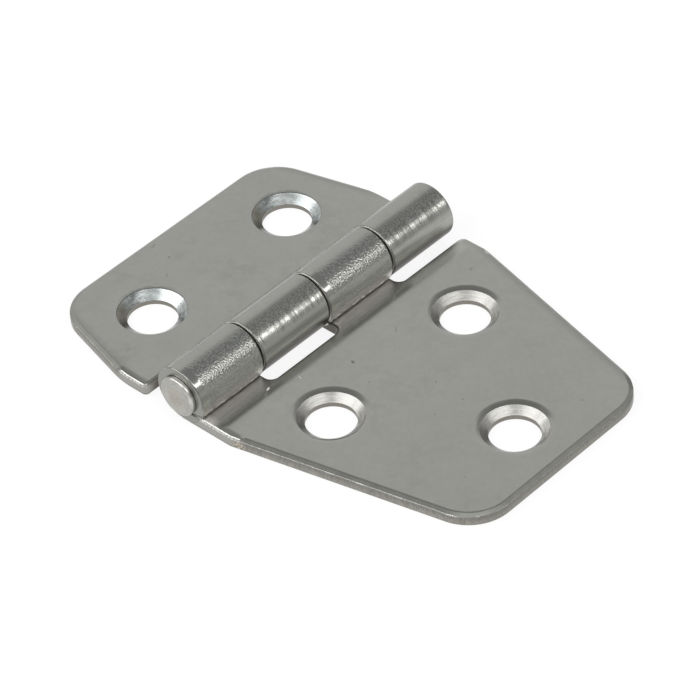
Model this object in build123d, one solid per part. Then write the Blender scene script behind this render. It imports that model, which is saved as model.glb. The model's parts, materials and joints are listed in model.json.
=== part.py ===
from build123d import *
from math import cos, radians, sin, tan
import os

os.makedirs("parts", exist_ok=True)

# Millimetres. The pin lies along Y, the long leaf points to +X, the short leaf
# to -X, and the backs of both leaves rest on z = 0. Everything is drawn with
# the pin over x = 0 and moved at the end, so that x = 0 is the middle of the
# open hinge.

# sheet, pin and barrel
sheet = 1.35
bore_radius = 1.82
pin_radius = 1.77
barrel_radius = bore_radius + sheet
axis_height = barrel_radius
half_length = 19.05

# each knuckle curls past the middle of the pin and ends just above its leaf
curl_angle = 15.0
free_end_gap = 0.05
free_end_round = 0.12

# the four knuckles, from the near end to the far end, as low and high y
joint_1, joint_2, joint_3 = -10.0, -0.1, 9.6
half_gap = 0.10
knuckle_1 = (-half_length, joint_1 - half_gap)
knuckle_2 = (joint_1 + half_gap, joint_2 - half_gap)
knuckle_3 = (joint_2 + half_gap, joint_3 - half_gap)
knuckle_4 = (joint_3 + half_gap, half_length)
notch_margin = 0.30

# edges left by shearing and tumbling; the top edge is drawn down by the shear
bottom_round = 0.12
drawn_round = 0.40
knuckle_round = 0.20
notch_corner = 0.9

# rim that is pressed down round the outside of each leaf
rim_width = 0.50
rim_drop = 0.27
rim_slant = 0.7
rim_low_round = 0.14
rim_high_round = 0.40

# pin heads
head_radius = 2.28
head_gap = 0.05
head_length = 0.62
head_dome = 0.15
head_round = 0.28
dome_bend = (0.55, 0.2)

# screw holes; the sheet round those of the long leaf is dished towards the cone
hole_radius = 2.70
hole_spacing = 20.4
cone_depth = 0.82
cone_radius = 3.72
cone_round = 0.16
dish_radius = 3.89
dish_depth = 0.20
dish_angle = 22.0
dish_round = 1.8

# how far the cutting shapes reach past what they cut
spare = 3.0

# one set of figures for each leaf; x counts away from the pin, and where a
# figure differs between the two ends the near one comes first
long_leaf = {
    "kink_x": (6.7, 7.5),
    "kink_y": (half_length, half_length + 0.23),
    "kink_round": 1.0,
    "outer_x": 34.65,
    "outer_half": 12.68,
    "corner": 5.1,
    "rim_start": 7.4,
    "notch_x": (4.2, 4.05),
    "end_corner": 0.8,
    "knuckles": (knuckle_1, knuckle_3),
    "neighbours": (knuckle_2, knuckle_4),
    "holes": ((12.4, -hole_spacing / 2), (12.4, hole_spacing / 2), (28.0, 0.0)),
    "dished": True,
}
short_leaf = {
    "kink_x": (8.85, 8.85),
    "kink_y": (half_length, half_length),
    "kink_round": 12.0,
    "outer_x": 21.45,
    "outer_half": 15.8,
    "corner": 5.05,
    "rim_start": 8.7,
    "notch_x": (5.2, 5.2),
    "end_corner": 0.5,
    "knuckles": (knuckle_2, knuckle_4),
    "neighbours": (knuckle_1, knuckle_3),
    "holes": ((13.0, -hole_spacing / 2), (13.0, hole_spacing / 2)),
    "dished": False,
}

# half of the difference in reach puts x = 0 in the middle of the open hinge
pin_x = (short_leaf["outer_x"] - long_leaf["outer_x"]) / 2


def near(a, b):
    return abs(a - b) < 0.01


def pick(items, test):
    return [item for item in items if test(item)]


def is_level(edge, height):
    return near(edge.center().Z, height) and near(edge.bounding_box().size.Z, 0)


def outer_shape(leaf):
    # the leaf seen from above: straight beside the pin, then narrowing
    near_x, far_x = leaf["kink_x"]
    near_y, far_y = leaf["kink_y"]
    outer, half = leaf["outer_x"], leaf["outer_half"]
    face = make_face(Polyline(
        (0, -near_y), (near_x, -near_y), (outer, -half),
        (outer, half), (far_x, far_y), (0, far_y), close=True))
    face = fillet(pick(face.vertices(), lambda v: near(v.X, outer)), leaf["corner"])
    kinks = pick(face.vertices(), lambda v: near(v.X, near_x) or near(v.X, far_x))
    return fillet(kinks, leaf["kink_round"])


def blank(leaf):
    # the same with the notches that make room for the other leaf's knuckles
    face = outer_shape(leaf)
    for notch, (low, high) in zip(leaf["notch_x"], leaf["neighbours"]):
        low = low - spare if near(low, -half_length) else low - notch_margin
        high = high + spare if near(high, half_length) else high + notch_margin
        cutter = Rectangle(notch + spare, high - low)
        face = face - Pos((notch - spare) / 2, (low + high) / 2) * cutter

    def corners(at_ends):
        # the corners on the notch lines, at the ends of the leaf or between them
        on_line = pick(face.vertices(), lambda v: any(near(v.X, x) for x in leaf["notch_x"]))
        return pick(on_line, lambda v: (abs(v.Y) > half_length - spare) == at_ends)

    face = face.face()
    face = fillet(corners(False), notch_corner)
    return fillet(corners(True), leaf["end_corner"])


def level_edges(body, height):
    # every level edge at this height except the one under the pin
    return pick(body.edges(), lambda e: is_level(e, height) and e.center().X > 0.01)


def plate_with_plain_edges(leaf):
    body = extrude(blank(leaf), sheet)
    body = fillet(level_edges(body, sheet), drawn_round)
    return fillet(level_edges(body, 0), bottom_round)


def plate_with_rim(leaf):
    # a shallow slope round the outer edge, soft where it leaves the flat
    body = extrude(outer_shape(leaf), sheet)
    top = body.faces().sort_by(Axis.Z)[-1]
    body = chamfer(level_edges(body, sheet), length=rim_width, length2=rim_drop, reference=top)
    body = fillet(level_edges(body, sheet - rim_drop), rim_low_round)
    body = fillet(level_edges(body, sheet), rim_high_round)
    return fillet(level_edges(body, 0), bottom_round)


def plate(leaf):
    # plain edges beside the pin, rim everywhere else; the rim starts at a slant
    start, far = leaf["rim_start"], half_length + spare
    side = half_length - rim_slant
    zone = extrude(make_face(Polyline(
        (-spare, -far), (start - spare, -far), (start + rim_slant, -side),
        (start + rim_slant, side), (start - spare, far), (-spare, far),
        close=True)), sheet + 2 * spare)
    zone = Pos(0, 0, -spare) * zone
    return (plate_with_rim(leaf) - zone) + (plate_with_plain_edges(leaf) & zone)


def about_pin(radius, angle):
    # a point of the section, angles counted upwards from the leaf's own side
    return radius * cos(radians(angle)), axis_height + radius * sin(radians(angle))


def roll(span):
    # the sheet wrapped over the pin; its last stretch runs straight down to the leaf
    low, high = span
    outer, inner = barrel_radius, bore_radius
    end_height = sheet + free_end_gap

    def foot(radius):
        x, z = about_pin(radius, -curl_angle)
        return x - (z - end_height) * tan(radians(curl_angle)), end_height

    middle = (90 - curl_angle) / 2
    face = Plane.XZ * make_face([
        ThreePointArc((0, 0), about_pin(outer, 180), about_pin(outer, 90)),
        ThreePointArc(about_pin(outer, 90), about_pin(outer, middle), about_pin(outer, -curl_angle)),
        Line(about_pin(outer, -curl_angle), foot(outer)),
        Line(foot(outer), foot(inner)),
        Line(foot(inner), about_pin(inner, -curl_angle)),
        ThreePointArc(about_pin(inner, -curl_angle), about_pin(inner, middle), about_pin(inner, 90)),
        ThreePointArc(about_pin(inner, 90), about_pin(inner, 180), about_pin(inner, 270)),
        Line(about_pin(inner, 270), (0, 0)),
    ])
    face = fillet(pick(face.vertices(), lambda v: near(v.Z, end_height)), free_end_round)
    body = Pos(0, high, 0) * extrude(face, high - low)
    ends = pick(body.edges(), lambda e: near(e.bounding_box().size.Y, 0)
                and not (near(e.center().X, 0) and e.center().Z < sheet))
    return fillet(ends, knuckle_round)


def screw_hole(leaf, spot):
    # plain hole with the countersink above it and the dish round that
    x, y = spot
    hole = Pos(x, y, sheet / 2) * Cylinder(hole_radius, sheet + spare)
    hole += Pos(x, y, sheet - cone_depth / 2) * Cone(hole_radius, cone_radius, cone_depth)
    if leaf["dished"]:
        bottom = dish_radius - dish_depth / tan(radians(dish_angle))
        hole += Pos(x, y, sheet - dish_depth / 2) * Cone(bottom, dish_radius, dish_depth)
    return hole


def leaf_body(leaf):
    body = plate(leaf)
    for span in leaf["knuckles"]:
        body = body + roll(span)
    for spot in leaf["holes"]:
        body = body - screw_hole(leaf, spot)
    lip, lip_round = (dish_radius, dish_round) if leaf["dished"] else (cone_radius, cone_round)
    lips = pick(body.edges().filter_by(GeomType.CIRCLE),
                lambda e: near(e.center().Z, sheet) and near(e.radius, lip))
    return fillet(lips, lip_round)


def hinge_pin():
    # plain shank with a low domed head peened over each end
    head, start = head_radius, half_length + head_gap
    top = start + head_length
    rim = top - head_dome
    out, drop = dome_bend
    dome = Spline((head, rim), (head * out, top - head_dome * drop), (0, top))
    section = make_face([
        Line((0, 0), (pin_radius, 0)),
        Line((pin_radius, 0), (pin_radius, start)),
        Line((pin_radius, start), (head, start)),
        Line((head, start), (head, rim)),
        dome,
        Line((0, top), (0, 0)),
    ])
    half = revolve(section, axis=Axis.Y, revolution_arc=360)
    rims = pick(half.edges().filter_by(GeomType.CIRCLE),
                lambda e: near(e.radius, head) and near(e.center().Y, rim))
    half = fillet(rims, head_round)
    return Pos(0, 0, axis_height) * (half + mirror(half, about=Plane.XZ))


parts = {
    "long_leaf": leaf_body(long_leaf),
    "short_leaf": mirror(leaf_body(short_leaf), about=Plane.YZ),
    "hinge_pin": hinge_pin(),
}
for name, shape in parts.items():
    shape = Pos(pin_x, 0, 0) * shape
    export_step(shape, f"parts/{name}.step")
    print(name, "solids", len(shape.solids()), "volume", round(shape.volume, 1), "valid", shape.is_valid)
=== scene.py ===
import bpy
import json
import math
from mathutils import Matrix, Quaternion, Vector

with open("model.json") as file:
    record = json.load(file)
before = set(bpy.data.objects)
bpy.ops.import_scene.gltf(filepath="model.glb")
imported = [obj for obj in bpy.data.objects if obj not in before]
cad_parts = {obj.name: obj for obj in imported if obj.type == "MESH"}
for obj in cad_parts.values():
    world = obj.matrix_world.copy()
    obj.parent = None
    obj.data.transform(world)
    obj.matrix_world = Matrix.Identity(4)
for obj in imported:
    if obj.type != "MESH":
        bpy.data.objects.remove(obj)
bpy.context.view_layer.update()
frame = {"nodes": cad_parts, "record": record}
print("frame loaded:", sorted(frame["nodes"]))


# small helpers

def direction(azimuth, elevation):
    # azimuth 0 points along -Y and 90 along +X, elevation is above the floor
    a, e = math.radians(azimuth), math.radians(elevation)
    return Vector((math.sin(a) * math.cos(e), -math.cos(a) * math.cos(e), math.sin(e)))


def aim(obj, target):
    obj.rotation_mode = "QUATERNION"
    obj.rotation_quaternion = (Vector(target) - obj.location).to_track_quat("-Z", "Y")


def node(tree, kind, x, y, **values):
    made = tree.nodes.new(kind)
    made.location = (x, y)
    for name, value in values.items():
        setattr(made, name, value)
    return made


def link(tree, start, end):
    tree.links.new(start, end)


# camera, where the photograph was taken from

cameraSettings = {
    "target": (0.000656, -0.001759, 0.00136),
    "azimuth": 45.509,
    "elevation": 41.065,
    "roll": -4.340,
    "distance": 0.38867,
    "lens": 195.38,
}


def makeCamera(s):
    data = bpy.data.cameras.new("camera")
    data.lens = s["lens"]
    data.clip_start, data.clip_end = 0.01, 20
    obj = bpy.data.objects.new("camera", data)
    bpy.context.scene.collection.objects.link(obj)
    obj.location = Vector(s["target"]) + direction(s["azimuth"], s["elevation"]) * s["distance"]
    aim(obj, s["target"])
    obj.rotation_quaternion = obj.rotation_quaternion @ Quaternion((0, 0, 1), math.radians(s["roll"]))
    bpy.context.scene.camera = obj


makeCamera(cameraSettings)
print("camera placed")


# floor and light

studioSettings = {
    "floorSize": 6.0,
    "floorGap": 0.00002,
    "floorColour": (0.18, 0.18, 0.18, 1),
    "floorGlow": 0.85,
}
leftStrip = {
    "facing": -1,
    "elevation": 47.6,
    "distance": 0.4,
    "start": -68,
    "end": 12,
    "height": 0.19,
    "radiance": 3.2,
}
rightStrip = {
    "facing": 75,
    "elevation": 48,
    "distance": 0.4,
    "start": 55,
    "end": 133,
    "height": 0.15,
    "radiance": 3.0,
}


def makeStrip(name, s):
    # a long soft box at one height, seen from the object between two azimuths
    out = direction(s["facing"], 0)
    along = direction(s["facing"] + 90, 0)
    rise = Vector((0, 0, s["distance"] * math.tan(math.radians(s["elevation"]))))
    first, last = [s["distance"] * math.tan(math.radians(s[k] - s["facing"])) for k in ("start", "end")]
    data = bpy.data.lights.new(name, "AREA")
    data.shape = "RECTANGLE"
    data.size, data.size_y = last - first, s["height"]
    data.energy = s["radiance"] * math.pi * data.size * data.size_y
    obj = bpy.data.objects.new(name, data)
    bpy.context.scene.collection.objects.link(obj)
    middle = out * s["distance"] + rise
    axisZ = middle.normalized()
    obj.rotation_mode = "QUATERNION"
    obj.rotation_quaternion = Matrix((along, axisZ.cross(along), axisZ)).transposed().to_quaternion()
    obj.location = middle + along * (first + last) / 2


def makeFloor(s):
    bpy.ops.mesh.primitive_plane_add(size=s["floorSize"], location=(0, 0, -s["floorGap"]))
    floor = bpy.context.object
    floor.name = "floor"
    material = bpy.data.materials.new("floor")
    material.use_nodes = True
    tree = material.node_tree
    tree.nodes.clear()
    diffuse = node(tree, "ShaderNodeBsdfDiffuse", 0, 0)
    diffuse.inputs["Color"].default_value = s["floorColour"]
    glow = node(tree, "ShaderNodeEmission", 0, -150)
    path = node(tree, "ShaderNodeLightPath", -600, -200)
    seen = node(tree, "ShaderNodeMath", -400, -200, operation="MAXIMUM")
    seenAll = node(tree, "ShaderNodeMath", -250, -200, operation="MAXIMUM")
    strength = node(tree, "ShaderNodeMath", -100, -200, operation="MULTIPLY")
    strength.inputs[1].default_value = s["floorGlow"]
    link(tree, path.outputs["Is Camera Ray"], seen.inputs[0])
    link(tree, path.outputs["Is Glossy Ray"], seen.inputs[1])
    link(tree, seen.outputs[0], seenAll.inputs[0])
    link(tree, path.outputs["Is Transmission Ray"], seenAll.inputs[1])
    link(tree, seenAll.outputs[0], strength.inputs[0])
    link(tree, strength.outputs[0], glow.inputs["Strength"])
    both = node(tree, "ShaderNodeAddShader", 200, 0)
    out = node(tree, "ShaderNodeOutputMaterial", 400, 0)
    link(tree, diffuse.outputs[0], both.inputs[0])
    link(tree, glow.outputs[0], both.inputs[1])
    link(tree, both.outputs[0], out.inputs["Surface"])
    floor.data.materials.append(material)


worldSettings = {
    "backdropAzimuth": -101,
    "backdropEdge": (0.44, 0.63),
    "backdrop": [(0.0, 0.785), (0.70, 0.775), (0.76, 0.42), (1.0, 0.36)],
    "room": [(0.0, 0.60), (0.10, 0.52), (0.6, 0.48), (0.76, 0.40), (1.0, 0.36)],
    "topAzimuth": 45,
    "topElevation": 66,
    "topEdge": (0.80, 0.98),
    "topGlow": 0.6,
}


def ramp(tree, x, y, stops):
    made = node(tree, "ShaderNodeValToRGB", x, y)
    elements = made.color_ramp.elements
    while len(elements) < len(stops):
        elements.new(0.5)
    for element, (position, value) in zip(elements, stops):
        element.position = position
        element.color = (value, value, value, 1)
    return made


def makeWorld(s):
    world = bpy.data.worlds.new("studio")
    bpy.context.scene.world = world
    world.use_nodes = True
    tree = world.node_tree
    tree.nodes.clear()
    place = node(tree, "ShaderNodeTexCoord", -1200, 0)
    split = node(tree, "ShaderNodeSeparateXYZ", -1000, 0)
    link(tree, place.outputs["Generated"], split.inputs[0])
    backdrop = ramp(tree, -700, 200, s["backdrop"])
    room = ramp(tree, -700, -50, s["room"])
    link(tree, split.outputs["Z"], backdrop.inputs[0])
    link(tree, split.outputs["Z"], room.inputs[0])

    level = node(tree, "ShaderNodeVectorMath", -1400, -300, operation="MULTIPLY")
    level.inputs[1].default_value = (1, 1, 0)
    compass = node(tree, "ShaderNodeVectorMath", -1200, -300, operation="NORMALIZE")
    link(tree, place.outputs["Generated"], level.inputs[0])
    link(tree, level.outputs["Vector"], compass.inputs[0])

    def toward(source, azimuth, elevation, edge, y):
        dot = node(tree, "ShaderNodeVectorMath", -1000, y, operation="DOT_PRODUCT")
        dot.inputs[1].default_value = direction(azimuth, elevation)
        link(tree, source, dot.inputs[0])
        soft = node(tree, "ShaderNodeMapRange", -800, y, interpolation_type="SMOOTHSTEP")
        soft.inputs["From Min"].default_value, soft.inputs["From Max"].default_value = edge
        link(tree, dot.outputs["Value"], soft.inputs["Value"])
        return soft.outputs["Result"]

    mix = node(tree, "ShaderNodeMix", -400, 100, data_type="RGBA")
    sideways = toward(compass.outputs["Vector"], s["backdropAzimuth"], 0, s["backdropEdge"], -300)
    link(tree, sideways, mix.inputs["Factor"])
    link(tree, room.outputs["Color"], mix.inputs["A"])
    link(tree, backdrop.outputs["Color"], mix.inputs["B"])
    top = node(tree, "ShaderNodeMix", -200, 0, data_type="RGBA", blend_type="ADD")
    upwards = toward(place.outputs["Generated"], s["topAzimuth"], s["topElevation"], s["topEdge"], -600)
    link(tree, upwards, top.inputs["Factor"])
    link(tree, mix.outputs["Result"], top.inputs["A"])
    glow = s["topGlow"]
    top.inputs["B"].default_value = (glow, glow, glow, 1)
    background = node(tree, "ShaderNodeBackground", 0, 0)
    out = node(tree, "ShaderNodeOutputWorld", 200, 0)
    link(tree, top.outputs["Result"], background.inputs["Color"])
    link(tree, background.outputs[0], out.inputs["Surface"])


makeFloor(studioSettings)
makeStrip("leftStrip", leftStrip)
makeStrip("rightStrip", rightStrip)
makeWorld(worldSettings)
bpy.context.scene.view_settings.view_transform = "Standard"
print("floor and light made")


# sizes that the finishes need, in metres

record = frame["record"]
mounts = {mount["name"]: mount for mount in record["mounts"]}
pinX, _, pinZ = record["behaviour"]["joints"][0]["pos_m"]
hingeSizes = {
    "sheet": 0.00135,
    "barrelRadius": 0.00317,
    "holeRadius": 0.0027,
    "coneReach": 0.00395,
}


def screwCentres(name):
    x, y, _ = mounts[name]["pos_m"]
    half = mounts[name]["dims"].get("spacing_y_mm", 0) / 2000
    return [(x, y - half, 0), (x, y + half, 0)] if half else [(x, y, 0)]


# node shorthands

def feed(tree, value, socket):
    if isinstance(value, bpy.types.NodeSocket):
        link(tree, value, socket)
    else:
        socket.default_value = value


def calc(tree, operation, a, b=0.0, c=0.0):
    made = node(tree, "ShaderNodeMath", 0, 0, operation=operation)
    for value, socket in zip((a, b, c), made.inputs):
        feed(tree, value, socket)
    return made.outputs[0]


def vectorCalc(tree, operation, a, b=(0, 0, 0), scale=None):
    made = node(tree, "ShaderNodeVectorMath", 0, 0, operation=operation)
    feed(tree, a, made.inputs[0])
    feed(tree, b, made.inputs[1])
    if scale is not None:
        feed(tree, scale, made.inputs["Scale"])
    return made.outputs["Value" if operation in ("LENGTH", "DISTANCE", "DOT_PRODUCT") else "Vector"]


def soft(tree, value, start, end, low=0.0, high=1.0):
    # low up to start, high from end on, smooth between; start may be the larger one
    made = node(tree, "ShaderNodeMapRange", 0, 0, interpolation_type="SMOOTHSTEP")
    numbers = {"Value": value, "From Min": start, "From Max": end, "To Min": low, "To Max": high}
    for key, number in numbers.items():
        feed(tree, number, made.inputs[key])
    return made.outputs["Result"]


def product(tree, *values):
    result = values[0]
    for value in values[1:]:
        result = calc(tree, "MULTIPLY", result, value)
    return result


def between(tree, value, start, full, fading, end):
    # 0 up to start, 1 from full to fading, and 0 from end on
    return product(tree, soft(tree, value, start, full), soft(tree, value, end, fading))


def opposite(tree, mask):
    return calc(tree, "SUBTRACT", 1.0, mask)


def highest(tree, values):
    result = values[0]
    for value in values[1:]:
        result = calc(tree, "MAXIMUM", result, value)
    return result


def parts(tree, vector):
    made = node(tree, "ShaderNodeSeparateXYZ", 0, 0)
    feed(tree, vector, made.inputs[0])
    return made.outputs["X"], made.outputs["Y"], made.outputs["Z"]


def joined(tree, x, y, z):
    made = node(tree, "ShaderNodeCombineXYZ", 0, 0)
    for value, socket in zip((x, y, z), made.inputs):
        feed(tree, value, socket)
    return made.outputs[0]


def noise(tree, vector, scale, detail=2.0, roughness=0.5):
    made = node(tree, "ShaderNodeTexNoise", 0, 0)
    feed(tree, vector, made.inputs["Vector"])
    feed(tree, scale, made.inputs["Scale"])
    feed(tree, detail, made.inputs["Detail"])
    feed(tree, roughness, made.inputs["Roughness"])
    return made.outputs["Fac"]


def blend(tree, factor, a, b, kind="RGBA", mode="MIX"):
    made = node(tree, "ShaderNodeMix", 0, 0, data_type=kind)
    if kind == "RGBA":
        made.blend_type = mode
    feed(tree, factor, made.inputs["Factor"])
    sockets = [i for i in made.inputs if i.enabled and i.name in ("A", "B")]
    for value, socket in zip((a, b), sockets):
        feed(tree, (*value, 1) if isinstance(value, tuple) and kind == "RGBA" else value, socket)
    return next(o for o in made.outputs if o.enabled and o.name == "Result")


def scaled(tree, colour, tone):
    return blend(tree, 1.0, colour, joined(tree, tone, tone, tone), mode="MULTIPLY")


def shade(tree, colour, mask, outside, inside):
    # the colour times one tone outside the mask and another inside it
    return scaled(tree, colour, blend(tree, mask, outside, inside, "FLOAT"))


def openMaterial(name):
    material = bpy.data.materials.new(name)
    material.use_nodes = True
    shader = material.node_tree.nodes["Principled BSDF"]
    shader.inputs["Metallic"].default_value = 1
    return material.node_tree, shader, material


def addRelief(tree, height, shader):
    # the height is in millimetres
    bump = node(tree, "ShaderNodeBump", 0, 0)
    bump.inputs["Distance"].default_value = 0.001
    link(tree, height, bump.inputs["Height"])
    link(tree, bump.outputs["Normal"], shader.inputs["Normal"])


def openGroup(name, inputs, outputs):
    tree = bpy.data.node_groups.new(name, "ShaderNodeTree")
    kinds = {"float": "NodeSocketFloat", "vector": "NodeSocketVector"}
    for title, kind in inputs:
        tree.interface.new_socket(title, in_out="INPUT", socket_type=kinds[kind])
    for title, kind in outputs:
        tree.interface.new_socket(title, in_out="OUTPUT", socket_type=kinds[kind])
    inside = node(tree, "NodeGroupInput", -1200, 0)
    out = node(tree, "NodeGroupOutput", 1200, 0)
    return tree, inside.outputs, out.inputs


def useGroup(tree, group, **values):
    # a value's name is the socket's, with its spaces closed up
    made = node(tree, "ShaderNodeGroup", 0, 0, node_tree=group)
    for socket in made.inputs:
        key = socket.name.replace(" ", "")
        if key in values:
            feed(tree, values[key], socket)
    return made.outputs


def tidy(tree):
    # lays the nodes out in columns, each to the right of what feeds it
    column = {}

    def depth(item):
        if item.name not in column:
            column[item.name] = 0
            sources = [l.from_node for s in item.inputs for l in s.links]
            column[item.name] = 1 + max([depth(n) for n in sources], default=-1)
        return column[item.name]

    used = {}
    for item in tree.nodes:
        row = used[depth(item)] = used.get(depth(item), -1) + 1
        item.location = (220 * depth(item), -190 * row)


# where on a leaf a point lies: zones told apart by place and by facing

facingLimits = {
    "slope": (0.80, 0.86, 0.955, 0.985),     # upwards
    "edge": (0.12, 0.25, 0.76, 0.84),
    "wall": (0.25, 0.12),
    "cone": (0.35, 0.5, 0.86, 0.90),
    "lip": (0.84, 0.90, 0.975, 0.998),
    "holeWall": (0.3, 0.15),
    "knuckleEnd": (0.75, 0.88),              # along the pin
    "knuckleRound": (0.12, 0.30, 0.75, 0.88),
}


def makeSheetZones(s, limits):
    tree, have, give = openGroup("sheetZones", [
        ("Place", "vector"), ("Facing", "vector"), ("Hole A", "vector"), ("Hole B", "vector"),
        ("Hole C", "vector"), ("Rim Start", "float")],
        [("Slope", "float"), ("Edge", "float"), ("Wall", "float"), ("Barrel", "float"),
         ("Knuckle End", "float"), ("Hole Wall", "float"), ("Cone", "float"), ("Lip", "float"),
         ("Knuckle Round", "float"), ("From Hole", "vector"), ("Beyond", "float")])
    x, _, z = parts(tree, have["Place"])
    _, facingY, facingZ = parts(tree, have["Facing"])
    flatPlace = vectorCalc(tree, "MULTIPLY", have["Place"], (1, 1, 0))
    offsets = [vectorCalc(tree, "SUBTRACT", flatPlace, have[n]) for n in ("Hole A", "Hole B", "Hole C")]
    lengths = [vectorCalc(tree, "LENGTH", v) for v in offsets]
    shorter = calc(tree, "MINIMUM", lengths[0], lengths[1])
    first = blend(tree, calc(tree, "LESS_THAN", lengths[1], lengths[0]), offsets[0], offsets[1], "VECTOR")
    fromHole = blend(tree, calc(tree, "LESS_THAN", lengths[2], shorter), first, offsets[2], "VECTOR")
    distance = calc(tree, "MINIMUM", shorter, lengths[2])
    nearHole = soft(tree, distance, s["coneReach"] + 0.0001, s["coneReach"] - 0.0001)

    fromPinX = calc(tree, "SUBTRACT", x, pinX)
    fromPin = vectorCalc(tree, "LENGTH", joined(tree, fromPinX, 0, calc(tree, "SUBTRACT", z, pinZ)))
    barrel = soft(tree, fromPin, s["barrelRadius"] + 0.0002, s["barrelRadius"] + 0.00005)
    onTop = soft(tree, z, s["sheet"] - 0.0007, s["sheet"] - 0.00055)
    side = calc(tree, "ABSOLUTE", fromPinX)
    beyond = soft(tree, calc(tree, "SUBTRACT", side, have["Rim Start"]), -0.0003, 0.0005)
    elsewhere = product(tree, opposite(tree, nearHole), opposite(tree, barrel))
    steep = calc(tree, "ABSOLUTE", facingZ)
    sideways = calc(tree, "ABSOLUTE", facingY)

    slope = product(tree, between(tree, facingZ, *limits["slope"]), elsewhere, onTop, beyond)
    edge = product(tree, between(tree, facingZ, *limits["edge"]), elsewhere, onTop)
    wall = product(tree, soft(tree, steep, *limits["wall"]), elsewhere)
    end = product(tree, soft(tree, sideways, *limits["knuckleEnd"]), barrel)
    rounded = product(tree, between(tree, sideways, *limits["knuckleRound"]), barrel)
    holeWall = product(tree, soft(tree, steep, *limits["holeWall"]),
                       soft(tree, distance, s["holeRadius"] + 0.0002, s["holeRadius"] + 0.0001))
    cone = product(tree, between(tree, facingZ, *limits["cone"]), nearHole)
    lip = product(tree, between(tree, facingZ, *limits["lip"]), nearHole)
    for title, value in (("Slope", slope), ("Edge", edge), ("Wall", wall), ("Barrel", barrel),
                         ("Knuckle End", end), ("Hole Wall", holeWall), ("Cone", cone), ("Lip", lip),
                         ("Knuckle Round", rounded), ("From Hole", fromHole), ("Beyond", beyond)):
        link(tree, value, give[title])
    tidy(tree)
    return tree


def makeBarrelPlace():
    # unrolls the barrel: arc length from its top, place along the pin, angle in degrees
    tree, have, give = openGroup("barrelPlace", [("Place", "vector")],
                                 [("Unrolled", "vector"), ("Angle", "float")])
    x, y, z = parts(tree, have["Place"])
    angle = calc(tree, "ARCTAN2", calc(tree, "SUBTRACT", x, pinX), calc(tree, "SUBTRACT", z, pinZ))
    arc = calc(tree, "MULTIPLY", angle, hingeSizes["barrelRadius"])
    link(tree, joined(tree, arc, y, 0.0), give["Unrolled"])
    link(tree, calc(tree, "MULTIPLY", angle, 180 / math.pi), give["Angle"])
    tidy(tree)
    return tree


def makeCloudy():
    # faint uneven tone round 1: large clouds, fine mottle, and small dark specks
    tree, have, give = openGroup("cloudy", [
        ("Place", "vector"), ("Cloud Scale", "float"), ("Cloud Amount", "float"),
        ("Fine Scale", "float"), ("Fine Amount", "float"), ("Speck Scale", "float"),
        ("Speck Share", "float")],
        [("Tone", "float"), ("Speck", "float")])
    cloud = calc(tree, "SUBTRACT", noise(tree, have["Place"], have["Cloud Scale"], 4.0, 0.6), 0.5)
    fine = calc(tree, "SUBTRACT", noise(tree, have["Place"], have["Fine Scale"], 3.0, 0.6), 0.5)
    tone = calc(tree, "MULTIPLY_ADD", cloud, have["Cloud Amount"], 1.0)
    tone = calc(tree, "MULTIPLY_ADD", fine, have["Fine Amount"], tone)
    cells = node(tree, "ShaderNodeTexVoronoi", 0, 0)
    feed(tree, have["Place"], cells.inputs["Vector"])
    feed(tree, have["Speck Scale"], cells.inputs["Scale"])
    red, green, _ = parts(tree, cells.outputs["Color"])
    reach = calc(tree, "MULTIPLY", green, 0.07)
    spot = calc(tree, "LESS_THAN", cells.outputs["Distance"], reach)
    chosen = calc(tree, "LESS_THAN", red, have["Speck Share"])
    link(tree, tone, give["Tone"])
    link(tree, product(tree, spot, chosen), give["Speck"])
    tidy(tree)
    return tree


def makeStreaks():
    # lines drawn out along one direction of the vector it is given
    tree, have, give = openGroup("streaks", [("Place", "vector"), ("Scale", "vector"), ("Detail", "float")],
                                 [("Value", "float")])
    drawn = vectorCalc(tree, "MULTIPLY", have["Place"], have["Scale"])
    link(tree, noise(tree, drawn, 1.0, have["Detail"], 0.6), give["Value"])
    tidy(tree)
    return tree


def makeTurned():
    # tool lines round a hole, and which way round the hole a point lies
    tree, have, give = openGroup("turned", [
        ("From Hole", "vector"), ("Line Scale", "float"), ("Break", "float")],
        [("Value", "float"), ("Direction", "vector")])
    out = vectorCalc(tree, "LENGTH", have["From Hole"])
    around = vectorCalc(tree, "NORMALIZE", have["From Hole"])
    bent = vectorCalc(tree, "SCALE", around, scale=have["Break"])
    across = joined(tree, 0.0, 0.0, calc(tree, "MULTIPLY", out, have["Line Scale"]))
    place = vectorCalc(tree, "ADD", bent, across)
    link(tree, noise(tree, place, 1.0, 3.0, 0.65), give["Value"])
    link(tree, around, give["Direction"])
    tidy(tree)
    return tree


def makeSpot():
    # a soft oval mark lying flat at one place
    tree, have, give = openGroup("spot", [
        ("Place", "vector"), ("Centre", "vector"), ("Turn", "float"), ("Reach", "vector"),
        ("Ragged", "float")],
        [("Mask", "float")])
    turned = node(tree, "ShaderNodeVectorRotate", 0, 0, rotation_type="Z_AXIS")
    feed(tree, vectorCalc(tree, "SUBTRACT", have["Place"], have["Centre"]), turned.inputs["Vector"])
    feed(tree, have["Turn"], turned.inputs["Angle"])
    out = vectorCalc(tree, "LENGTH", vectorCalc(tree, "DIVIDE", turned.outputs[0], have["Reach"]))
    worn = calc(tree, "SUBTRACT", noise(tree, have["Place"], 2500.0, 2.0), 0.5)
    out = calc(tree, "MULTIPLY_ADD", worn, have["Ragged"], out)
    link(tree, soft(tree, out, 1.1, 0.6), give["Mask"])
    tidy(tree)
    return tree


sheetZones = makeSheetZones(hingeSizes, facingLimits)
barrelPlace = makeBarrelPlace()
cloudy = makeCloudy()
streaks = makeStreaks()
turned = makeTurned()
spot = makeSpot()
print("shared finishes made")


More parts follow.
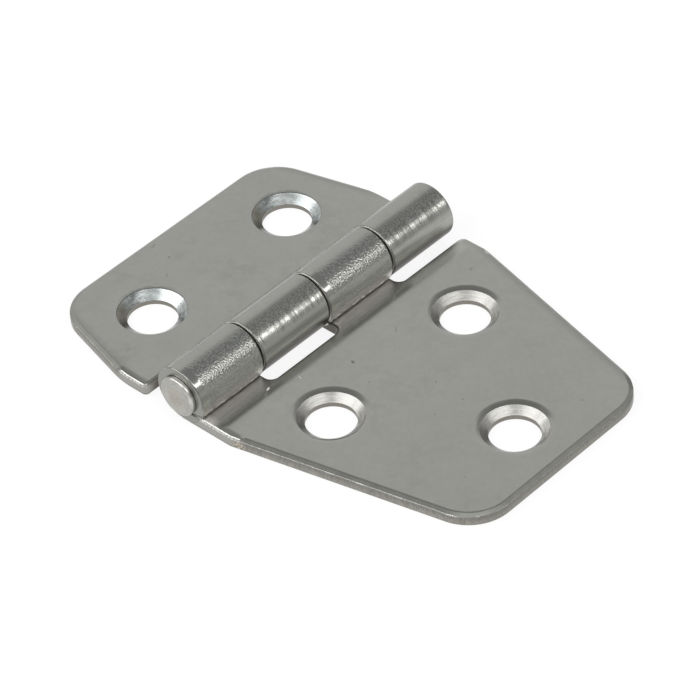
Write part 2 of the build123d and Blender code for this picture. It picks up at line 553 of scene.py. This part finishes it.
# the leaves: pressed stainless sheet, tumbled, with rolled knuckles

leafFinish = {
    "flat": (0.396, 0.401, 0.370),
    "flatRoughness": 0.13,
    "speck": (0.20, 0.19, 0.17),
    "speckStrength": 0.4,
    # painted glints on the nicks
    "nick": (0.85, 0.84, 0.80),
    "stainScale": 150.0,
    "stainLimits": ((0.48, 0.66), (0.42, 0.60)),   # of the wide noise and of the broken one
    "borderReach": (0.0014, 0.0004),         # the flat darkens towards its slanted sides
    "borderTone": 0.84,
    "besideReach": (0.0061, 0.0050),         # from the pin
    "root": (0.425, 0.418, 0.402),           # beside the barrel, where the sheet was bent
    "rootEnd": 0.0046,                       # from the pin
    "rootRagged": 0.0012,
    "rootStreaks": (0.90, 1.06),
    "rootRoughness": 0.38,
    # painted shade in the crease beside the seam, on the root next to the barrel's free end
    "seamDirt": 0.55,
    "seamDirtReach": (0.00312, 0.00286),
    "endsFrom": (0.0174, 0.0188),            # from the middle of the hinge
    # painted light: the root is lightened towards the hinge's ends
    "endsTone": 1.35,
    "slope": (0.335, 0.340, 0.312),
    "slopeRoughness": (0.22, 0.36),
    "farSlopeFrom": (0.010, 0.012),          # from the middle of the hinge, as are the next two
    "farHalf": (0.0, 0.010),
    "farKnuckleFrom": (0.0094, 0.0100),
    "farSlopeReach": (0.0012, 0.0009),       # from the slanted side
    "edgeRoughness": (0.46, 0.22),
    "plainEdge": (0.74, 0.735, 0.71),
    "plainEdgeChips": (0.62, 1.0),
    # painted shade on the far half's plain edges
    "plainEdgeFarTone": 0.45,
    "plainEdgeRoughness": 0.40,
    "notchEdge": (0.33, 0.325, 0.30),
    "plainWall": (0.365, 0.355, 0.332),
    "notchWall": (0.115, 0.104, 0.094),
    "sandDark": (0.22, 0.20, 0.16),
    "sandBright": (0.50, 0.46, 0.39),
    "wallDark": (0.235, 0.225, 0.200),
    "wallBright": (0.325, 0.315, 0.290),
    "wallRoughness": 0.38,
    "wallHeight": (0.0011, 0.0003),
    "wallTones": (0.78, 1.08),
    "wallTipTone": 0.90,
    "footHeight": (0.00030, 0.00012),        # painted shade: the dark line along the bottom of the plain walls
    "footTone": 0.6,
    "cornerReach": (0.0008, 0.0003),         # either side of where the rim starts
    "sandHeight": (0.0012, 0.0010),
    "stepHeight": (0.00104, 0.00112),        # the far step there
    # painted shade on that step
    "stepTone": 0.55,
    "seamHeight": (0.00137, 0.00142, 0.00165, 0.00195),
    "holeWall": (0.26, 0.243, 0.218),
    "holeWallRoughness": 0.45,
    # painted glints on the burrs along the seam
    "seamSpeck": (1.0, 0.96, 0.87),
    "seamSpeckRoughness": 0.65,
    "topRoughness": 0.21,                    # the barrel's top, rubbed smooth
    "smoothRoughness": 0.15,                 # the first millimetre of some knuckles
    "lowRoughness": 0.38,
    "endRoughness": 0.28,
    "end": (0.288, 0.291, 0.270),
    # painted light on the knuckles' faces inside the gaps
    "gapFace": (0.66, 0.64, 0.60),
    # painted shade on the knuckles' rounded edges, deeper further round
    "roundTone": (0.80, 0.50),
    "leftTone": 0.89,
    "lineTone": (0.90, 1.08),
}

# bands round the barrel, in degrees from its top towards the seam: where each starts, is full,
# starts to fade and ends
barrelBands = {
    "shoulder": (24.0, 34.0, 52.0, 64.0),
    "cool": (3.0, 12.0, 28.0, 38.0),
    "lower": (42.0, 50.0, 58.0, 66.0),
    "left": (-38.0, -30.0, -22.0, -12.0),
    "under": (90.0, 106.0, 128.0, 150.0),
    "seam": (95.0, 105.0, 130.0, 150.0),
}

# angles between which other finishes of the barrel come in
barrelTurns = {
    "rubbedMiddle": -8.0,                    # where the barrel's top is rubbed smooth
    "rubbedRough": (14.0, 38.0),             # either side of that middle, for the gloss
    "rubbedFlat": (24.0, 12.0),              # the same for the relief
    "grainFrom": (4.0, 18.0),
    "linesFrom": (50.0, 62.0),
    "roundFrom": (50.0, 75.0),
    "lowFrom": (55.0, 75.0),
    "smoothTo": (58.0, 48.0),
    "farFrom": (-20.0, -30.0),
}

# noise drawn out along each axis and its detail, on the sheet and on the unrolled barrel
sheetNoise = {
    "fibre": ((6000.0, 6000.0, 1300.0), 3.0),
    "broken": ((650.0, 650.0, 650.0), 3.0),
    "sand": ((4500.0, 2200.0, 4500.0), 2.0),
    "streak": ((3000.0, 260.0, 3000.0), 3.0),
}
barrelNoise = {
    "grain": ((5000.0, 5000.0, 0.0), 0.3),
    "lines": ((6500.0, 120.0, 0.0), 3.0),
}
barNoise = ((170.0, 2500.0, 0.0), 2.0)

# depths in millimetres
leafRelief = {
    "waves": 0.0004,
    "slope": 0.004,
    "edge": 0.010,
    "wall": 0.030,
    "cone": 0.005,
    "burr": 0.15,
    "drawnEdge": -0.10,
}

# a leaf's cone lights and shades (painted shade and painted highlights) are a direction, a half width and a
# tone or tint, and what lies beside the other leaf's knuckles is from, to, roughness and tone, the tone being
# painted light; nicks are as the marks below
longLeaf = {
    "holes": screwCentres("long_leaf_screws") + screwCentres("tip_screw"),
    "rimStart": 0.0078,
    "slantNormal": (0.2362, 0.9717),         # of its far slanted side, and how far out that side lies
    "slantReach": 0.020506,
    "slantBothSides": False,
    # painted shade on the far side's slope
    "farSlope": 0.78,
    "cone": (0.470, 0.465, 0.440),
    "coneRoughness": (0.27, 0.42),
    "coneLines": (0.72, 1.20),
    "coneShades": [(240, 42, 0.58), (345, 48, 0.39), (45, 38, 1.5), (15, 14, 1.5), (272, 22, 0.62),
                   (72, 24, 0.88)],
    # painted shade in a ring round the holes on one side
    "soot": {"facing": 135, "width": 62, "reach": 0.0041, "tone": 0.82},
    "lineScale": 9000.0,
    "lineBreak": 2.6,
    "edgeDark": (0.30, 0.295, 0.27),
    "edgeBright": (0.62, 0.61, 0.58),
    "tipStart": 0.0330,
    # painted light on the long leaf's outer slopes
    "tipSlope": 1.08,
    "tipEdge": (0.25, 0.245, 0.228),
    "sideRoughness": 0.28,
    "grain": 0.046,
    "grainTone": (0.70, 1.22),
    "grainEnd": (70.0, 48.0, 0.35),
    "stain": 0.955,
    "lowerTone": 0.88,
    "coolBand": (0.92, 0.93, 0.955),
    "burred": True,                          # torn metal at its seams, and nicks, both with painted glints
    "smoothFrom": (-0.01905, 0.0),
    # the tones here are painted light, where the flat mirrors the knuckles beside it
    "beside": [(-0.0099, -0.0002, 0.24, 1.06), (0.0097, 0.0184, 0.40, 1.45)],
    "nicks": [(-1.77, -11.41, 0.34, 0.15, 75, 1.0), (-0.50, -8.05, 0.40, 0.05, 10, 0.6),
              (-3.05, 0.62, 0.30, 0.22, 60, 0.45), (-3.62, 5.25, 0.16, 0.12, 0, 0.5)],
    # painted light on the barrel's underside
    "underside": (0.78, 0.755, 0.71),
}
shortLeaf = {
    "holes": screwCentres("short_leaf_screws") * 2,
    "rimStart": 0.0091,
    "slantNormal": (0.2498, 0.9683),
    "slantReach": 0.020657,
    "slantBothSides": True,
    # painted shade on the far side's slope
    "farSlope": 0.60,
    "cone": (0.394, 0.420, 0.416),
    "coneRoughness": (0.16, 0.28),
    "coneLines": (0.74, 1.18),
    "coneShades": [(240, 58, (0.80, 0.72, 0.61)), (2, 26, 0.34), (30, 13, 1.7), (270, 25, 0.32),
                   (326, 26, 1.7), (60, 20, 1.25), (148, 32, 1.13)],
    "lipTone": 0.65,
    # painted shade in a ring round the holes on one side
    "soot": {"facing": 145, "width": 60, "reach": 0.0040, "tone": 0.74},
    "lineScale": 3500.0,
    "lineBreak": 3.2,
    "edgeDark": (0.25, 0.246, 0.228),
    "edgeBright": (0.33, 0.326, 0.308),
    "tipStart": 0.0200,
    # painted shade on the short leaf's outer slopes
    "tipSlope": 0.85,
    "tipEdge": (0.33, 0.325, 0.305),
    "sideRoughness": 0.26,
    "grain": 0.009,
    "grainTone": (0.72, 1.16),
    "grainEnd": (46.0, 34.0, 0.0),
    "stain": 0.925,
    "coolBand": (0.97, 0.975, 0.99),
    "burred": False,
    "bars": (0.64, 1.26),
    "barRoughness": (0.05, -0.05),
    "farTone": 0.68,
    # painted shade on the barrel's underside
    "underside": (0.105, 0.095, 0.080),
}

# marks seen on the flats: place, length and width in millimetres, turn in degrees, strength
longLeafMarks = [
    (2.15, -2.93, 0.30, 0.20, 20, 0.90), (10.77, 0.12, 0.20, 0.09, 60, 0.55),
    (14.60, -0.09, 0.16, 0.10, 10, 0.50), (2.12, 3.65, 0.55, 0.09, 40, 0.45),
    (1.81, 15.70, 0.30, 0.20, 70, 0.30), (23.98, 7.31, 0.25, 0.15, 130, 0.35),
    (22.33, -8.58, 0.22, 0.14, 20, 0.30), (5.49, -4.16, 0.12, 0.09, 0, 0.60),
    (13.90, -3.55, 0.14, 0.10, 0, 0.45), (-1.99, 7.88, 0.28, 0.16, 100, 0.80),
]
shortLeafMarks = [
    (-24.42, -2.83, 0.20, 0.13, 0, 0.70), (-27.00, -2.56, 0.50, 0.20, 80, 0.35),
    (-22.50, -5.07, 0.50, 0.07, 30, 0.45), (-17.26, -16.21, 0.60, 0.30, 60, 0.16),
]


def spotted(tree, place, mark):
    x, y, length, width, turn, strength = mark
    found = useGroup(tree, spot, Place=place, Centre=(x / 1000, y / 1000, hingeSizes["sheet"]),
                     Turn=math.radians(turn), Reach=(length / 1000, width / 1000, 0.001), Ragged=0.7)
    return calc(tree, "MULTIPLY", found["Mask"], strength)


def around(tree, p, key):
    return product(tree, p["zone"]["Barrel"], between(tree, p["angle"], *barrelBands[key]))


def leafPatterns(tree, s, f):
    # everything that the colour, the gloss and the relief below are made from
    source = node(tree, "ShaderNodeTexCoord", 0, 0)
    place = source.outputs["Object"]
    holes = {"Hole" + letter: vector for letter, vector in zip("ABC", s["holes"])}
    zone = useGroup(tree, sheetZones, Place=place, Facing=source.outputs["Normal"],
                    RimStart=s["rimStart"], **holes)
    wrap = useGroup(tree, barrelPlace, Place=place)
    x, y, z = parts(tree, place)
    angle = wrap["Angle"]
    fromPin = calc(tree, "ABSOLUTE", calc(tree, "SUBTRACT", x, pinX))
    fromMiddle = calc(tree, "ABSOLUTE", y)
    p = {"place": place, "zone": zone, "y": y, "z": z, "angle": angle, "fromPin": fromPin,
         "fromMiddle": fromMiddle}

    def drawnOut(vector, scale, detail):
        return useGroup(tree, streaks, Place=vector, Scale=scale, Detail=detail)["Value"]

    for key, values in sheetNoise.items():
        p[key] = drawnOut(place, *values)
    for key, values in barrelNoise.items():
        p[key] = drawnOut(wrap["Unrolled"], *values)
    if "bars" in s:
        p["bars"] = drawnOut(wrap["Unrolled"], *barNoise)
    p["ring"] = useGroup(tree, turned, FromHole=zone["From Hole"], LineScale=s["lineScale"],
                         Break=s["lineBreak"])
    p["even"] = useGroup(tree, cloudy, Place=place, CloudScale=260.0, CloudAmount=0.14, FineScale=1800.0,
                         FineAmount=0.13, SpeckScale=260.0, SpeckShare=0.35)
    p["grit"] = useGroup(tree, cloudy, Place=place, CloudScale=900.0, CloudAmount=0.7, FineScale=5200.0,
                         FineAmount=0.9, SpeckScale=1500.0, SpeckShare=0.3)["Tone"]

    slantX, slantY = s["slantNormal"]
    along = fromMiddle if s["slantBothSides"] else y
    outwards = calc(tree, "ADD", product(tree, fromPin, slantX), product(tree, along, slantY))
    p["fromEdge"] = calc(tree, "SUBTRACT", s["slantReach"], outwards)
    p["tip"] = soft(tree, fromPin, s["tipStart"], s["tipStart"] + 0.0008)
    p["ends"] = soft(tree, fromMiddle, *f["endsFrom"])
    p["worn"] = soft(tree, p["broken"], 0.50, 0.64)
    p["fromTop"] = calc(tree, "ABSOLUTE", calc(tree, "SUBTRACT", angle, barrelTurns["rubbedMiddle"]))

    if "smoothFrom" in s:
        starts = [between(tree, y, v - 0.0001, v, v + 0.0008, v + 0.0012) for v in s["smoothFrom"]]
        p["smooth"] = highest(tree, starts)
    if s["burred"]:
        p["nicked"] = highest(tree, [spotted(tree, place, nick) for nick in s["nicks"]])
        lowest = between(tree, z, *f["seamHeight"])
        p["seam"] = product(tree, lowest, between(tree, angle, *barrelBands["seam"]),
                            soft(tree, p["sand"], 0.50, 0.58))
    p["beside"] = []
    for start, end, roughness, tone in s.get("beside", []):
        mask = product(tree, between(tree, y, start - 0.0006, start + 0.0012, end - 0.0006, end),
                       soft(tree, fromPin, *f["besideReach"]))
        p["beside"].append((mask, roughness, tone))
    return p


def flatColour(tree, s, f, marks, p):
    specks = calc(tree, "MULTIPLY", p["even"]["Speck"], f["speckStrength"])
    colour = blend(tree, specks, f["flat"], f["speck"])
    for mark in marks:
        colour = blend(tree, spotted(tree, p["place"], mark), colour, f["speck"])
    if s["burred"]:
        # nicks, with painted glints
        colour = blend(tree, p["nicked"], colour, f["nick"])
    wide, broken = f["stainLimits"]
    stained = product(tree, soft(tree, noise(tree, p["place"], f["stainScale"], 3.0), *wide),
                      soft(tree, p["broken"], *broken))
    colour = shade(tree, colour, stained, 1.0, s["stain"])
    # painted light in the bands that mirror the other leaf's knuckles
    for mask, _, tone in p["beside"]:
        colour = shade(tree, colour, mask, 1.0, tone)
    colour = shade(tree, colour, soft(tree, p["fromEdge"], *f["borderReach"]), 1.0, f["borderTone"])

    ragged = calc(tree, "SUBTRACT", p["fromPin"], f["rootRagged"] / 2)
    ragged = calc(tree, "MULTIPLY_ADD", p["broken"], f["rootRagged"], ragged)
    bent = soft(tree, ragged, f["rootEnd"] + 0.0004, f["rootEnd"] - 0.0004)
    root = shade(tree, f["root"], soft(tree, p["streak"], 0.35, 0.65), *f["rootStreaks"])
    # painted light towards the hinge's ends
    root = shade(tree, root, p["ends"], 1.0, f["endsTone"])
    # painted shade along the seam
    root = shade(tree, root, soft(tree, p["fromPin"], *f["seamDirtReach"]), 1.0, f["seamDirt"])
    return blend(tree, calc(tree, "MULTIPLY", bent, opposite(tree, p["zone"]["Barrel"])), colour, root)


def edgeColour(tree, s, f, p, colour):
    # streaked slope, broken bright corner, fibrous sheared wall
    zone = p["zone"]
    # painted light on the long leaf's outer slopes and painted shade on the short leaf's
    slope = shade(tree, f["slope"], p["tip"], 1.0, s["tipSlope"])
    slope = shade(tree, slope, soft(tree, p["broken"], 0.35, 0.65), 0.95, 1.05)
    # painted shade on the slope along the far side
    farSide = product(tree, soft(tree, p["fromEdge"], *f["farSlopeReach"]),
                      soft(tree, p["y"], *f["farSlopeFrom"]))
    colour = blend(tree, zone["Slope"], colour, shade(tree, slope, farSide, 1.0, s["farSlope"]))

    rim = blend(tree, p["tip"], blend(tree, p["worn"], s["edgeDark"], s["edgeBright"]), s["tipEdge"])
    chippedAndShaded = shade(tree, f["plainEdge"], soft(tree, p["sand"], 0.46, 0.56), *f["plainEdgeChips"])
    # chips, and painted shade on the plain edges of the far half
    chippedAndShaded = shade(tree, chippedAndShaded, soft(tree, p["y"], *f["farHalf"]), 1.0, f["plainEdgeFarTone"])
    plainEdge = blend(tree, p["ends"], f["notchEdge"], chippedAndShaded)
    colour = blend(tree, zone["Edge"], colour, blend(tree, zone["Beyond"], plainEdge, rim))

    fibre = soft(tree, p["fibre"], 0.32, 0.68)
    fibre = blend(tree, calc(tree, "MULTIPLY", p["tip"], 0.5), fibre, 0.5, "FLOAT")
    wall = blend(tree, fibre, f["wallDark"], f["wallBright"])
    wall = shade(tree, wall, soft(tree, p["z"], *f["wallHeight"]), *f["wallTones"])
    wall = shade(tree, wall, p["tip"], 1.0, f["wallTipTone"])
    # painted shade along the foot of the plain walls
    plainWall = shade(tree, f["plainWall"], soft(tree, p["z"], *f["footHeight"]), 1.0, f["footTone"])
    plainWall = blend(tree, p["ends"], f["notchWall"], plainWall)
    wall = blend(tree, zone["Beyond"], plainWall, wall)
    corner = calc(tree, "ABSOLUTE", calc(tree, "SUBTRACT", p["fromPin"], s["rimStart"]))
    corner = soft(tree, corner, *f["cornerReach"])
    # painted shade on the far step where the rim starts
    step = product(tree, corner, soft(tree, p["z"], *f["stepHeight"]), soft(tree, p["y"], *f["farHalf"]))
    wall = shade(tree, wall, step, 1.0, f["stepTone"])
    if s["burred"]:
        sandy = blend(tree, soft(tree, p["sand"], 0.40, 0.60), f["sandDark"], f["sandBright"])
        wall = blend(tree, product(tree, corner, soft(tree, p["z"], *f["sandHeight"])), wall, sandy)
    return blend(tree, zone["Wall"], colour, wall)


def knuckleColour(tree, s, f, p, colour):
    zone, angle = p["zone"], p["angle"]
    body = calc(tree, "SUBTRACT", zone["Barrel"], zone["Knuckle End"])
    # the barrel's underside takes a flat colour: painted light on the long leaf, painted shade on the short
    # leaf
    under = product(tree, between(tree, angle, *barrelBands["under"]), body)
    colour = blend(tree, under, colour, s["underside"])
    if s["burred"]:
        # burrs along the seam, with painted glints
        colour = blend(tree, p["seam"], colour, f["seamSpeck"])
    # painted shade with a cool tint on the barrel's dark reflected band
    colour = blend(tree, around(tree, p, "cool"), colour, s["coolBand"], mode="MULTIPLY")
    grained = product(tree, zone["Barrel"], soft(tree, angle, *barrelTurns["grainFrom"]),
                      soft(tree, angle, *s["grainEnd"]))
    if "smoothFrom" in s:
        grained = product(tree, grained, opposite(tree, p["smooth"]))
    colour = shade(tree, colour, grained, 1.0, soft(tree, p["grain"], 0.30, 0.70, *s["grainTone"]))
    # painted shade on the lower side of the barrel's highlight
    if "lowerTone" in s:
        colour = shade(tree, colour, around(tree, p, "lower"), 1.0, s["lowerTone"])
    # painted shade on the barrel's left side
    colour = shade(tree, colour, around(tree, p, "left"), 1.0, f["leftTone"])
    # painted shade on the left side of the far knuckle
    if "farTone" in s:
        far = product(tree, zone["Barrel"], soft(tree, p["y"], *f["farKnuckleFrom"]),
                      soft(tree, angle, *barrelTurns["farFrom"]))
        colour = shade(tree, colour, far, 1.0, s["farTone"])
    if "bars" in s:
        barTone = soft(tree, p["bars"], 0.36, 0.64, *s["bars"])
        colour = shade(tree, colour, around(tree, p, "shoulder"), 1.0, barTone)
    lined = product(tree, zone["Barrel"], soft(tree, angle, *barrelTurns["linesFrom"]))
    colour = shade(tree, colour, lined, 1.0, soft(tree, p["lines"], 0.30, 0.70, *f["lineTone"]))
    # painted light on the knuckle faces inside the gaps
    colour = blend(tree, zone["Knuckle End"], colour, blend(tree, p["ends"], f["gapFace"], f["end"]))
    # painted shade on the knuckles' rounded edges
    roundTone = soft(tree, angle, *barrelTurns["roundFrom"], *f["roundTone"])
    return shade(tree, colour, zone["Knuckle Round"], 1.0, roundTone)


def sector(tree, p, facing, width):
    # the share of a hole's surroundings that lies one way from it
    toward = (math.cos(math.radians(facing)), math.sin(math.radians(facing)), 0)
    dot = vectorCalc(tree, "DOT_PRODUCT", p["ring"]["Direction"], toward)
    return soft(tree, dot, math.cos(math.radians(width)), math.cos(math.radians(width / 3)))


def holeColour(tree, s, f, p, colour):
    # the countersinks, with painted shade and painted highlights on set sides of each cone, and a ring of
    # painted shade round the holes on one side
    zone, soot = p["zone"], s["soot"]
    distance = calc(tree, "SUBTRACT", vectorCalc(tree, "LENGTH", zone["From Hole"]), 0.0005)
    distance = calc(tree, "MULTIPLY_ADD", p["broken"], 0.0010, distance)
    shadedRing = product(tree, soft(tree, distance, soot["reach"] + 0.0002, soot["reach"] - 0.0001),
                    sector(tree, p, soot["facing"], soot["width"]))
    colour = shade(tree, colour, shadedRing, 1.0, soot["tone"])
    if "lipTone" in s:
        colour = shade(tree, colour, zone["Lip"], 1.0, s["lipTone"])
    cone = shade(tree, s["cone"], soft(tree, p["ring"]["Value"], 0.25, 0.75), *s["coneLines"])
    cone = shade(tree, cone, soft(tree, p["grit"], 0.75, 1.25), 0.92, 1.06)
    # painted shade and painted highlights on set sides of each cone
    for facing, width, tint in s["coneShades"]:
        tint = tint if isinstance(tint, tuple) else (tint,) * 3
        cone = blend(tree, sector(tree, p, facing, width), cone, tint, mode="MULTIPLY")
    colour = blend(tree, zone["Cone"], colour, cone)
    return blend(tree, zone["Hole Wall"], colour, f["holeWall"])


def leafRoughness(tree, s, f, p):
    def mix(mask, a, b):
        return blend(tree, mask, a, b, "FLOAT")

    zone, angle = p["zone"], p["angle"]
    flat = f["flatRoughness"]
    for mask, roughness, _ in p["beside"]:
        flat = mix(mask, flat, roughness)
    bent = soft(tree, p["fromPin"], f["rootEnd"] + 0.0006, f["rootEnd"] - 0.0004)
    rough = mix(bent, flat, f["rootRoughness"])
    rough = mix(zone["Slope"], rough, mix(p["tip"], *f["slopeRoughness"]))
    edge = mix(zone["Beyond"], f["plainEdgeRoughness"], mix(p["worn"], *f["edgeRoughness"]))
    rough = mix(zone["Edge"], rough, edge)
    rough = mix(zone["Wall"], rough, f["wallRoughness"])

    barrel = mix(soft(tree, p["fromTop"], *barrelTurns["rubbedRough"]), f["topRoughness"], s["sideRoughness"])
    barrel = mix(soft(tree, angle, *barrelTurns["lowFrom"]), barrel, f["lowRoughness"])
    if "bars" in s:
        barred = soft(tree, p["bars"], 0.36, 0.64, *s["barRoughness"])
        barrel = calc(tree, "MULTIPLY_ADD", barred, around(tree, p, "shoulder"), barrel)
    if "smoothFrom" in s:
        smooth = calc(tree, "MULTIPLY", p["smooth"], soft(tree, angle, *barrelTurns["smoothTo"]))
        barrel = mix(smooth, barrel, f["smoothRoughness"])
    rough = mix(zone["Barrel"], rough, barrel)
    if s["burred"]:
        rough = mix(p["seam"], rough, f["seamSpeckRoughness"])
    rough = mix(zone["Knuckle End"], rough, f["endRoughness"])
    rough = mix(zone["Cone"], rough, soft(tree, p["ring"]["Value"], 0.3, 0.7, *s["coneRoughness"]))
    return mix(zone["Hole Wall"], rough, f["holeWallRoughness"])


def leafHeight(tree, s, depth, p):
    zone = p["zone"]
    plain = calc(tree, "MULTIPLY", soft(tree, p["fromTop"], *barrelTurns["rubbedFlat"]), 0.8)
    if "smoothFrom" in s:
        plain = calc(tree, "MAXIMUM", p["smooth"], plain)
    height = product(tree, p["grain"], zone["Barrel"], s["grain"], opposite(tree, plain))
    height = calc(tree, "MULTIPLY_ADD", noise(tree, p["place"], 700.0, 2.0), depth["waves"], height)
    layers = [(depth["slope"], zone["Slope"], p["grit"]), (depth["edge"], zone["Edge"], p["fibre"]),
              (depth["wall"], zone["Wall"], p["fibre"]), (depth["cone"], zone["Cone"], p["ring"]["Value"]),
              (depth["drawnEdge"], opposite(tree, zone["Beyond"]), opposite(tree, zone["Barrel"]),
               soft(tree, p["fromMiddle"], 0.0180, 0.0192))]
    if s["burred"]:
        layers.append((depth["burr"], p["seam"]))
    for amount, *masks in layers:
        height = calc(tree, "MULTIPLY_ADD", product(tree, *masks), amount, height)
    return height


def makeLeafSteel(name, s, f, marks):
    tree, shader, material = openMaterial(name)
    p = leafPatterns(tree, s, f)
    if s["burred"]:
        # burrs and nicks are set non-metallic, so their pale colour shows as painted glints
        tornAndGlinting = highest(tree, [p["seam"], p["nicked"]])
        link(tree, opposite(tree, tornAndGlinting), shader.inputs["Metallic"])
    colour = flatColour(tree, s, f, marks, p)
    for step in (edgeColour, knuckleColour, holeColour):
        colour = step(tree, s, f, p, colour)
    link(tree, scaled(tree, colour, p["even"]["Tone"]), shader.inputs["Base Color"])
    link(tree, leafRoughness(tree, s, f, p), shader.inputs["Roughness"])
    addRelief(tree, leafHeight(tree, s, leafRelief, p), shader)
    tidy(tree)
    return material


# the pin: drawn rod, its heads peened over, with a painted highlight on the upper side of the head's rim

pinFinish = {
    "face": (0.425, 0.42, 0.388),
    "warm": (0.395, 0.375, 0.335),
    "warmReach": 0.0016,
    # painted highlight on the upper side of the head's rim
    "rim": (0.60, 0.59, 0.56),
    "rimFacing": (0.6, 0.8, 0),
    "rimStart": 0.00195,
    "roughness": (0.25, 0.38),
    "swirlScale": 5200.0,
    "swirlBreak": 1.4,
    "swirlTone": (0.88, 1.10),
    "relief": 0.004,
}


def makePinSteel(name, s):
    tree, shader, material = openMaterial(name)
    place = node(tree, "ShaderNodeTexCoord", 0, 0).outputs["Object"]
    x, _, z = parts(tree, place)
    across = joined(tree, calc(tree, "SUBTRACT", x, pinX), calc(tree, "SUBTRACT", z, pinZ), 0.0)
    ring = useGroup(tree, turned, FromHole=across, LineScale=s["swirlScale"], Break=s["swirlBreak"])
    even = useGroup(tree, cloudy, Place=place, CloudScale=700.0, CloudAmount=0.35, FineScale=3000.0,
                    FineAmount=0.15, SpeckScale=900.0, SpeckShare=0.2)
    middle = calc(tree, "MULTIPLY", vectorCalc(tree, "LENGTH", across), even["Tone"])
    colour = blend(tree, soft(tree, middle, s["warmReach"] / 3, s["warmReach"]), s["warm"], s["face"])
    # painted highlight on the rim's upper side
    litSide = soft(tree, vectorCalc(tree, "DOT_PRODUCT", ring["Direction"], s["rimFacing"]), 0.35, 0.85)
    rim = product(tree, soft(tree, middle, s["rimStart"], s["rimStart"] + 0.0002), litSide)
    colour = blend(tree, rim, colour, s["rim"])
    tone = product(tree, even["Tone"], soft(tree, ring["Value"], 0.3, 0.7, *s["swirlTone"]))
    link(tree, scaled(tree, colour, tone), shader.inputs["Base Color"])
    link(tree, soft(tree, ring["Value"], 0.3, 0.7, *s["roughness"]), shader.inputs["Roughness"])
    addRelief(tree, calc(tree, "MULTIPLY", ring["Value"], s["relief"]), shader)
    tidy(tree)
    return material


def dress(nodeName, material):
    frame["nodes"][nodeName].material_slots[0].material = material


dress("long_leaf", makeLeafSteel("longLeafSteel", longLeaf, leafFinish, longLeafMarks))
dress("short_leaf", makeLeafSteel("shortLeafSteel", shortLeaf, leafFinish, shortLeafMarks))
dress("hinge_pin", makePinSteel("pinSteel", pinFinish))
print("materials set")
